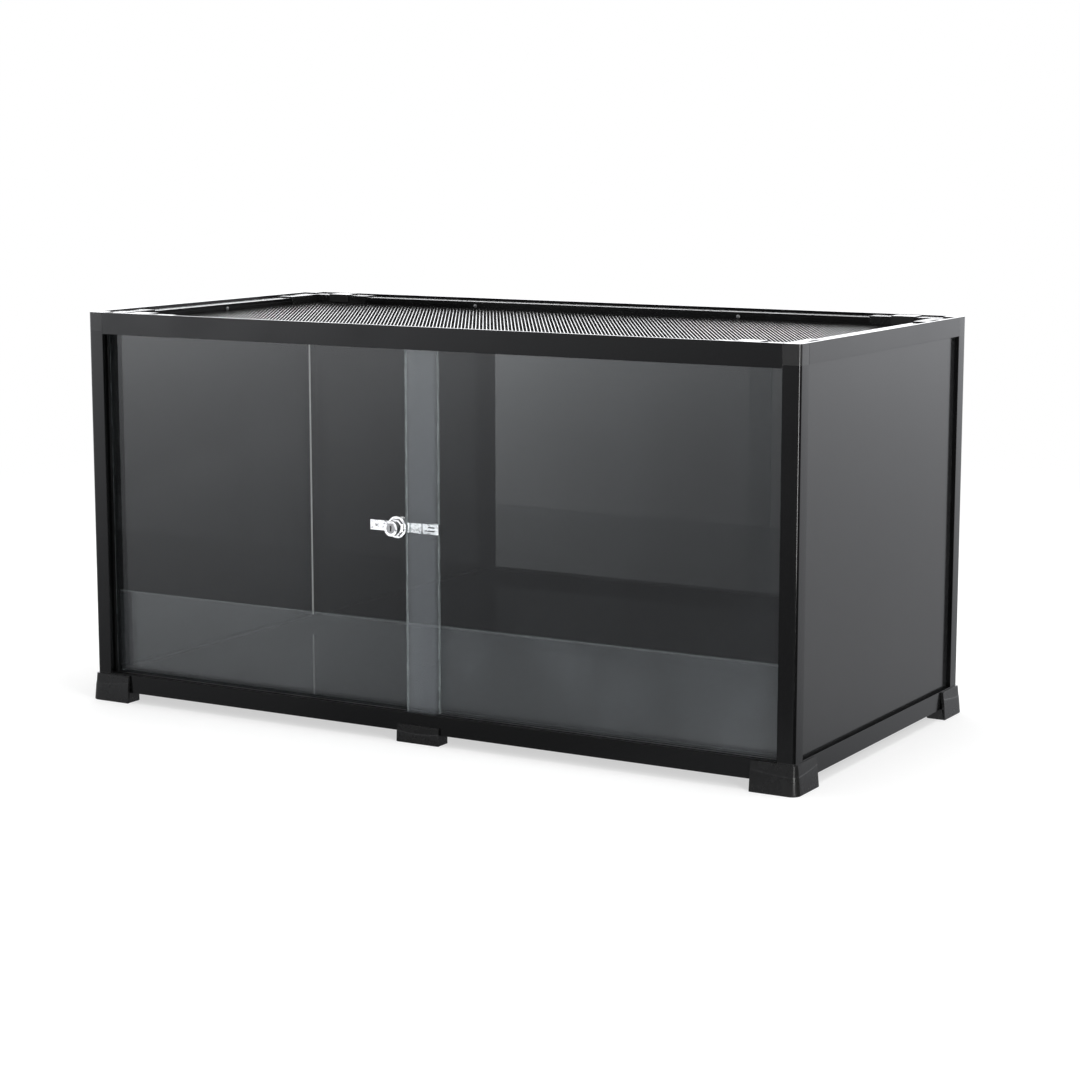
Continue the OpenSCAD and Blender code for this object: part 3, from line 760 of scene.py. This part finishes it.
def build_lock(steel):
    """The lock's pieces. Mirror images leave them out, as the dark boards barely show them."""
    bright, turned, dark = chrome(), chrome_turned(), lock_painted_shade()
    plug_low, plug_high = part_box("key_plug")
    bar_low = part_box("lock_bar")[0]
    middle = (plug_low + plug_high) / 2
    half_slot_x, half_slot_z, slot_start, slot_stop = 1.2 * MM, 3.2 * MM, 0.3 * MM, 1 * MM
    neck_radius = 7.3 * MM
    groove_rim, groove_floor = bar_low.y + 0.1 * MM, bar_low.y + 0.8 * MM
    half_web, hook_length, straight_up = 4.5 * MM, 20 * MM, 0.95

    # The inside of the key slot, which takes the near-black painted shade.
    def in_keyway(centre, normal):
        inside = abs(centre.x - middle.x) < half_slot_x and abs(centre.z - middle.z) < half_slot_z
        deep = plug_low.y + slot_start < centre.y < plug_high.y - slot_stop
        return 1 if inside and deep else 0

    def on_neck(centre, normal):
        """The round of the neck, between the barrel's head and the flange, which takes the near-black
        painted shade.
        """
        radius = Vector((centre.x - middle.x, 0, centre.z - middle.z)).length
        return 1 if radius < neck_radius and abs(normal.y) < EDGE_ON else 0

    def in_groove(centre, normal):
        """The bar's sunk face, and the flanks of the teeth beyond the hook, which take the near-black
        painted shade.
        """
        sunk = groove_rim < centre.y < groove_floor
        flank = abs(normal.y) < EDGE_ON and abs(normal.z) < straight_up
        tooth = flank and abs(centre.z - middle.z) > half_web
        return 1 if sunk or (tooth and centre.x > bar_low.x + hook_length) else 0

    parts = [
        dress("lock_bar", [bright, dark], 0.18 * MM, in_groove),
        dress("lock_body", [bright, dark], 0.5 * MM, on_neck),
        dress("key_plug", [turned, dark], 0.3 * MM, in_keyway),
        dress("lock_pawl", [steel], 0.25 * MM),
        build_collar(bright),
    ]
    for part in parts:
        part.visible_glossy = False


# ---- Feet ----

# The solid block behind each skirt: how far in from the frame's faces it goes, and how high
BLOCK_DEPTH = 17 * MM
BLOCK_HEIGHT = 12 * MM
# How far the block's bottom edges are eased
BLOCK_EASE = 0.6 * MM
SKIRT_WALL = 2.6 * MM


def skirt_ring(top_out, toe_out, height, crease):
    """A skirt's section as (distance out from the frame, height), with a ledge at the crease."""
    clear, ledge, top_ease, lip = 0.1 * MM, 0.35 * MM, 0.6 * MM, 0.7 * MM

    def face(z):
        return top_out + (toe_out - top_out) * (1 - z / height)

    return [
        (clear, height),
        (top_out - ledge - top_ease, height),
        (top_out - ledge, height - top_ease),
        (face(crease + lip) - ledge, crease + lip),
        (face(crease) - 0.08 * MM, crease + 0.3 * MM),
        (face(crease), crease - 0.1 * MM),
        (face(lip), lip),
        (toe_out - lip, 0),
        (toe_out - SKIRT_WALL, 0),
        (clear, max(0.8 * height, BLOCK_HEIGHT + 0.1 * MM)),
    ]


def corner_path(leg, radius, steps=8):
    """Points round a corner of the frame's faces, with the way out at each.

    With each comes its share of the way along a leg, 0 at the corner and 1 at the leg's end.
    """
    straight = []
    for k in range(steps):
        share = 1 - k / steps
        straight.append((radius + (leg - radius) * share, share))
    bend = []
    for k in range(steps + 1):
        angle = math.radians(-90 - 90 * k / steps)
        way = (math.cos(angle), math.sin(angle))
        bend.append(((radius + radius * way[0], radius + radius * way[1]), way, 0))
    first_leg = [((place, 0), (0, -1), share) for place, share in straight]
    second_leg = [((0, place), (-1, 0), share) for place, share in reversed(straight)]
    return first_leg + bend + second_leg


def build_corner_foot(end, side, plastic):
    """A skirt round the tank's corner, in front of a block along each leg."""
    node = f"foot_{end}_{side}"
    low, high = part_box(node)
    leg, radius, toe_out = 48 * MM, 4 * MM, 6 * MM
    rings = []
    for (x, y), (out_x, out_y), share in corner_path(leg, radius):
        crease = (19.5 + 4 * share**1.6) * MM
        section = skirt_ring(3 * MM, toe_out, high.z - low.z, crease)
        rings.append([(x + out_x * out, y + out_y * out, z) for out, z in section])
    form = Form().loft(rings)

    block_out, tight, wide = toe_out - 1.3 * MM, 1 * MM, 8.4 * MM
    outline = rounded_outline(
        (-block_out, -block_out), (leg, BLOCK_DEPTH), (tight, tight, wide, tight), steps=8
    )

    def eased(place, inset):
        return place - math.copysign(inset, place - block_out)

    for swapped in (False, True):
        shells = []
        for z, inset in ((0, BLOCK_EASE), (BLOCK_EASE, 0), (BLOCK_HEIGHT, 0)):
            row = [(eased(x, inset), eased(y, inset)) for x, y in outline]
            shells.append([(y, x, z) if swapped else (x, y, z) for x, y in row])
        form.loft(shells)
    form.moved(lambda p: (SIDES[side] * (FRAME_X - p.x), ENDS[end] * (FRAME_Y - p.y), p.z))
    return make(node + "_made", form, [plastic], node)


def build_middle_foot(end, plastic):
    """A short straight skirt in front of one block."""
    node = f"foot_{end}_middle"
    low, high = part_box(node)
    half = 27 * MM
    steps = 16
    rings = []
    for k in range(steps + 1):
        share = 2 * k / steps - 1
        crease = (10.5 + 2.2 * share * share) * MM
        section = skirt_ring(2.6 * MM, 3.5 * MM, high.z - low.z, crease)
        rings.append([(share * half, -out, z) for out, z in section])
    form = Form().loft(rings)

    half_block, drawn_in = half - 0.02 * MM, 0.985
    outline = rounded_outline((-half_block, -2.2 * MM), (half_block, BLOCK_DEPTH), 1 * MM)
    form.loft([
        [(x * drawn_in, y, 0) for x, y in outline],
        [(x, y, BLOCK_EASE) for x, y in outline],
        [(x, y, BLOCK_HEIGHT) for x, y in outline],
    ])
    form.moved(lambda p: (p.x, ENDS[end] * (FRAME_Y - p.y), p.z))
    return make(node + "_made", form, [plastic], node)


def build_feet(steel):
    """Six feet and the screws that hold them."""
    dress("foot_screws", [steel], 0.2 * MM)
    plastic = foot_plastic()
    for end in ENDS:
        for side in SIDES:
            build_corner_foot(end, side, plastic)
        build_middle_foot(end, plastic)


# ---- Screen top ----


def strand_section(width, low, high, flat):
    """A strand's section as (distance aside, height); flat is how much of its width is level."""
    middle = (low + high) / 2
    shares = ((-1, middle), (-flat, high), (flat, high), (1, middle), (flat, low), (-flat, low))
    return [(share * width / 2, z) for share, z in shares]


def clipped(point, way, half_x, half_y):
    """Where a line through a point enters and leaves the mesh's rectangle."""
    spans = [
        sorted(((-half - place) / step, (half - place) / step))
        for place, step, half in ((point.x, way.x, half_x), (point.y, way.y, half_y))
    ]
    return max(span[0] for span in spans), min(span[1] for span in spans)


def build_screen_mesh():
    """Two layers that cross at about sixty degrees: flat glossy strands over narrow dull ones, darkened
    as painted shade.
    """
    low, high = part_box("screen_mesh")
    margin, pitch, shortest = 1.2 * MM, 4.05 * MM, 2 * MM
    half_x, half_y = high.x - margin, high.y - margin
    over = strand_section(0.98 * MM, high.z - 0.17 * MM, high.z, flat=0.94)
    under = strand_section(0.28 * MM, low.z, high.z - 0.15 * MM, flat=0.96)
    form = Form()
    for mark, (degrees, section) in enumerate(((121.5, over), (60, under))):
        way = Vector((math.cos(math.radians(degrees)), math.sin(math.radians(degrees)), 0))
        across = Vector((-way.y, way.x, 0))
        count = int((half_x + half_y) / pitch)
        for k in range(-count, count + 1):
            middle = across * pitch * k
            start, stop = clipped(middle, way, half_x, half_y)
            if stop - start > shortest:
                ends = (middle + way * start, middle + way * stop)
                form.loft([
                    [(at.x + across.x * aside, at.y + across.y * aside, z) for aside, z in section]
                    for at in ends
                ], mark, mark)
    finishes = [mesh_coat(), mesh_under_shaded_coat()]
    return make("screen_mesh_made", form, finishes, "screen_mesh")


def build_rivets():
    """Domed heads on the mesh strips' inner faces, with their shanks out through the skirts."""
    low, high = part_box("mesh_rivets")
    height = (low.z + high.z) / 2
    face_x, face_y = -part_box("mesh_strip_left")[1].x, -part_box("mesh_strip_front")[1].y
    aside = 181 * MM
    # How far in from the strip's face, and the radius there, in mm
    head = ((0.0, 2.5), (0.35, 2.5), (0.7, 2.05), (0.92, 1.2), (1.0, 0.35))
    shank = ((-4.2, 1.5), (0.0, 1.5))
    # Each rivet's place on its strip, and the way in from there
    spots = [((x, sign * face_y), (0, -sign)) for x in (-aside, aside) for sign in (-1, 1)]
    spots += [((sign * face_x, 0), (-sign, 0)) for sign in (-1, 1)]
    form = Form()
    for (x, y), (in_x, in_y) in spots:
        for profile in (head, shank):
            rings = []
            for inward, radius in profile:
                middle_x, middle_y = x + in_x * inward * MM, y + in_y * inward * MM
                rings.append([
                    (middle_x + abs(in_y) * across, middle_y + abs(in_x) * across, height + up)
                    for across, up in circle(radius * MM, 24)
                ])
            form.loft(rings)
    return make("mesh_rivets_made", form, [rivet_metal()], "mesh_rivets")


def build_screen_top():
    """Bars, strips, mesh and ports. The rear bar is rubbed duller, where hands grip the top."""
    paint = screen_paint("screen_paint", 0.14, 0.2)
    gripped = screen_paint("screen_paint_rubbed", 0.2, 0.27)
    for side in ("front", "rear", "left", "right"):
        bar = gripped if side == "rear" else paint
        dress(f"screen_bar_{side}", [bar], 0.3 * MM)
        dress(f"mesh_strip_{side}", [paint], 0.2 * MM)
    block, cover = port_plastic(), cover_plastic()
    for end, side in CORNERS:
        dress(f"port_block_{end}_{side}", [block], 0.35 * MM)
        dress(f"port_cover_{end}_{side}", [cover], 0.25 * MM)
    build_screen_mesh()
    build_rivets()


# ---- Studio: what the tank stands in, and what its glossy faces mirror ----

FLOOR_RADIUS = 9.0
# How far off the mirrored studio stops growing brighter
STUDIO_REACH = 7.0
# Ways in plan: to the black flag on the right, and to the bright panel at the front left
FLAG_WAY = (0.98, -0.2)
PANEL_WAY = (-0.53, -0.85)


def toward(way, x, y):
    """How far a vector in plan goes a given way."""
    return way[0] * x + way[1] * y


def plan_length(x, y):
    """The length of a vector in plan, kept above nothing so that it can divide."""
    return (x * x + y * y + 0.0001) ** 0.5


def studio_glow(finish, y, reach, right):
    """How bright the studio looks in the tank's glossy faces.

    That is its brightness nearby, what each metre of distance adds, and how squarely the way
    points to the front. The flag darkens what lies to the right.
    """
    front = -1 * y / reach
    flagged = finish.between(right, 0.5, 0.64, 1.0, 0.12)
    near = finish.between(front, -0.7, 0.8, 0.47, 0.17) * flagged
    slope = finish.between(front, -0.5, 0.7, 0.14, 0.213)
    slope = slope * finish.between(front, 0.72, 0.96, 1.0, 0.15)
    return near, slope * flagged, front


def build_floor():
    """A pale floor that keeps the tank's shadow near it and is plain white far off."""
    finish = new_finish("studio_floor")
    x, y = finish.along("X"), finish.along("Y")
    reach = finish.node(
        "ShaderNodeVectorMath", {"operation": "LENGTH"}, {0: finish.place()}, out="Value"
    )
    from_corner = (x - FRAME_X, y + FRAME_Y)
    right = toward(FLAG_WAY, *from_corner) / plan_length(*from_corner)
    near, slope, _ = studio_glow(finish, y, reach, right)
    capped = finish.node("ShaderNodeMath", {"operation": "MINIMUM"}, {0: reach, 1: STUDIO_REACH})

    seen, mirrored, through = finish.rays()
    direct = seen + through
    pale = finish.node("ShaderNodeBsdfDiffuse", inputs={"Color": grey(0.8)})
    plain = finish.node("ShaderNodeAddShader", inputs={0: pale, 1: finish.lit(WHITE, 0.3 * direct)})
    far = finish.between(reach, 0.9, 2.4, 0.4, 1.0)
    ground = finish.mixed(far * direct, plain, finish.lit(WHITE, direct))
    mirror = finish.lit(COOL_WHITE, near + slope * capped)

    mesh = bpy.data.meshes.new("studio_floor")
    outline = [(*point, 0) for point in circle(FLOOR_RADIUS, 96)]
    mesh.from_pydata(outline, [], [list(range(len(outline)))])
    mesh.materials.append(finish.close(finish.mixed(mirrored, ground, mirror)))
    floor = bpy.data.objects.new("studio_floor", mesh)
    bpy.context.scene.collection.objects.link(floor)


def build_world():
    """White to the camera, and in reflections a studio that is darkest at the front, low down."""
    world = bpy.data.worlds.new("studio")
    bpy.context.scene.world = world
    finish = Finish(world)
    way = finish.node("ShaderNodeTexCoord", out="Generated")
    x, y, z = [finish.along(axis, way) for axis in "XYZ"]
    reach = plan_length(x, y)
    near, slope, front = studio_glow(finish, y, reach, toward(FLAG_WAY, x, y) / reach)
    horizon = near + STUDIO_REACH * slope
    dim = finish.between(z, 0.0, 0.05) * finish.between(front, 0.1, 0.5) * 0.85
    panel_side = finish.between(toward(PANEL_WAY, x, y), 0.7, 0.86)
    ceiling = 0.25 + finish.between(z, 0.46, 0.56, 1.8, 0.0) * panel_side
    above = finish.between(z, 0.26, 0.36)
    mirror = horizon * (1 - dim) * (1 - above) + ceiling * above

    seen, mirrored, through = finish.rays()
    other = 1 - seen - through - mirrored
    strength = seen + through + mirrored * mirror + 0.5 * other
    tint = finish.blend(mirrored, WHITE, COOL_WHITE)
    background = finish.node("ShaderNodeBackground", inputs={"Color": tint, "Strength": strength})
    finish.node("ShaderNodeOutputWorld", inputs={"Surface": background})


def softbox(name, place, aim, size, power):
    lamp = bpy.data.lights.new(name, "AREA")
    lamp.shape = "RECTANGLE"
    lamp.size, lamp.size_y = size
    lamp.energy = power
    holder = bpy.data.objects.new(name, lamp)
    holder.location = place
    holder.rotation_euler = (Vector(aim) - Vector(place)).to_track_quat("-Z", "Y").to_euler()
    holder.visible_camera = False
    bpy.context.scene.collection.objects.link(holder)
    return holder


def build_lights():
    """A broad light above, a narrow one in front on the right, and a broad one behind."""
    above = softbox("softbox_above", (0.0, 0.2, 2.6), (0.0, 0.0, 0.3), size=(2.4, 1.6), power=55)
    above.visible_glossy = False
    softbox("softbox_right", (1.41, -1.03, 0.6), (0.46, -0.22, 0.6), size=(0.24, 1.18), power=12)
    softbox("softbox_behind", (-1.6, 3.6, 1.35), (-0.4, 0.0, 0.45), size=(5.5, 2.0), power=60)


def build_camera():
    """Nine degrees down on the tank, from thirty degrees right of its front."""
    lens = bpy.data.cameras.new("camera")
    lens.lens = 85.84
    lens.sensor_width = 36
    holder = bpy.data.objects.new("camera", lens)
    holder.location = (1.5059, -2.5341, 0.6651)
    holder.rotation_euler = (math.radians(90 - 9.05), 0, math.radians(30.32))
    bpy.context.scene.collection.objects.link(holder)
    bpy.context.scene.camera = holder


screw_steel = zinc()
build_frame()
build_boards()
build_seal_beads()
build_glass()
build_tracks()
build_lock(screw_steel)
build_feet(screw_steel)
build_screen_top()
build_floor()
build_world()
build_lights()
build_camera()
bpy.context.scene.view_settings.view_transform = "Standard"
